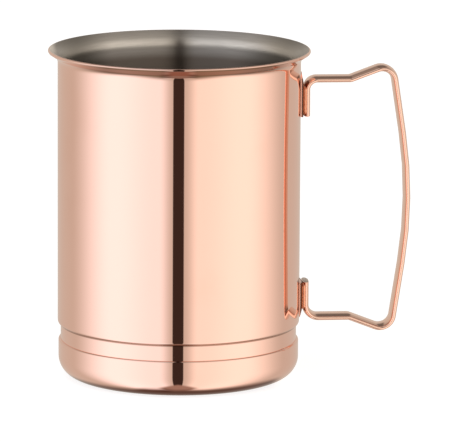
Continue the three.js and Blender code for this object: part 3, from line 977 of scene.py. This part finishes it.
# Operators, one for each piece or group of like pieces, and one for the stage

class MUG_OT_body(bpy.types.Operator):
    """Spins the copper body with its flared lip and its turned-in lower edge"""

    bl_idname = "mug.body"
    bl_label = "Copper body"

    def execute(self, context):
        make_spun(body_section, "copper_body", material("mirror_copper"))
        return {"FINISHED"}


class MUG_OT_base(bpy.types.Operator):
    """Spins the base cup with its collar, its rounded corner and its recessed underside"""

    bl_idname = "mug.base"
    bl_label = "Base cup"

    def execute(self, context):
        make_spun(base_section, "base_cup", material("mirror_copper"))
        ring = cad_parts["base_braze_ring"]
        ring.data.materials.clear()
        ring.data.materials.append(material("braze_metal"))
        return {"FINISHED"}


class MUG_OT_liner(bpy.types.Operator):
    """Spins the satin steel lining"""

    bl_idname = "mug.liner"
    bl_label = "Steel lining"

    def execute(self, context):
        make_spun(liner_section, "steel_liner", material("satin_steel"))
        return {"FINISHED"}


class MUG_OT_strap(bpy.types.Operator):
    """Bends the handle from one oval strap with two cut ends"""

    bl_idname = "mug.strap"
    bl_label = "Strap handle"

    def execute(self, context):
        make_strap([material("strap_copper"), material("cut_metal")])
        return {"FINISHED"}


class MUG_OT_plates(bpy.types.Operator):
    """Shapes the two plates that carry the strap's legs"""

    bl_idname = "mug.plates"
    bl_label = "Handle plates"

    def execute(self, context):
        sizes, handle = context.scene.mug_sizes, context.scene.mug_handle
        places = joint_places(sizes, handle)
        copper = material("plate_copper")
        make_plate(places["upper_end"], 1, handle.upper_plate, "upper_handle_plate", copper)
        make_plate(places["lower_end"], -1, handle.lower_plate, "lower_handle_plate", copper)
        return {"FINISHED"}


class MUG_OT_seams(bpy.types.Operator):
    """Lays the four braze seams between the strap's legs and the plates"""

    bl_idname = "mug.seams"
    bl_label = "Braze seams"

    def execute(self, context):
        sizes, handle = context.scene.mug_sizes, context.scene.mug_handle
        places = joint_places(sizes, handle)
        braze = material("braze_metal")
        climb = handle.seam_climb
        upper = ("upper", places["upper_end"], 1, handle.upper_leg - handle.upper_leg_bend + climb)
        lower = ("lower", places["lower_end"], -1, handle.lower_leg - handle.lower_leg_bend + climb)
        for joint, end, direction, contact in (upper, lower):
            for name, side in (("front", -1), ("back", 1)):
                make_seam(end, direction, contact, side, f"{joint}_braze_{name}", braze)
        return {"FINISHED"}


class MUG_OT_studio(bpy.types.Operator):
    """Sets up the camera, the white floor and the soft light"""

    bl_idname = "mug.studio"
    bl_label = "Studio"

    def execute(self, context):
        studio = context.scene.mug_studio
        context.scene.view_settings.view_transform = "Standard"
        make_camera(studio)
        make_world(studio)
        make_floor(studio)
        return {"FINISHED"}


class MUG_PT_panel(bpy.types.Panel):
    bl_idname = "MUG_PT_panel"
    bl_label = "Copper Beer Mug"
    bl_space_type = "VIEW_3D"
    bl_region_type = "UI"
    bl_category = "Mug"

    def draw(self, context):
        layout = self.layout
        for operator in OPERATORS:
            layout.operator(operator.bl_idname)
        for name in PROPERTY_GROUPS:
            group = getattr(context.scene, name)
            box = layout.box()
            box.label(text=name)
            for item in group.bl_rna.properties:
                if item.identifier not in ("rna_type", "name"):
                    box.prop(group, item.identifier)


PROPERTY_GROUPS = {
    "mug_sizes": MugSizes,
    "mug_handle": HandleSizes,
    "mug_finishes": Finishes,
    "mug_studio": Studio,
    "mug_smoothness": Smoothness,
}
OPERATORS = (
    MUG_OT_studio, MUG_OT_body, MUG_OT_base, MUG_OT_liner, MUG_OT_strap, MUG_OT_plates, MUG_OT_seams,
)


def register():
    for group in PROPERTY_GROUPS.values():
        bpy.utils.register_class(group)
    for name, group in PROPERTY_GROUPS.items():
        setattr(bpy.types.Scene, name, PointerProperty(type=group))
    for operator in OPERATORS:
        bpy.utils.register_class(operator)
    bpy.utils.register_class(MUG_PT_panel)


def unregister():
    bpy.utils.unregister_class(MUG_PT_panel)
    for operator in reversed(OPERATORS):
        bpy.utils.unregister_class(operator)
    for name in PROPERTY_GROUPS:
        delattr(bpy.types.Scene, name)
    for group in reversed(PROPERTY_GROUPS.values()):
        bpy.utils.unregister_class(group)


def main():
    register()
    bpy.ops.mug.studio()
    bpy.ops.mug.body()
    bpy.ops.mug.base()
    bpy.ops.mug.liner()
    bpy.ops.mug.strap()
    bpy.ops.mug.plates()
    bpy.ops.mug.seams()


if __name__ == "__main__":
    main()
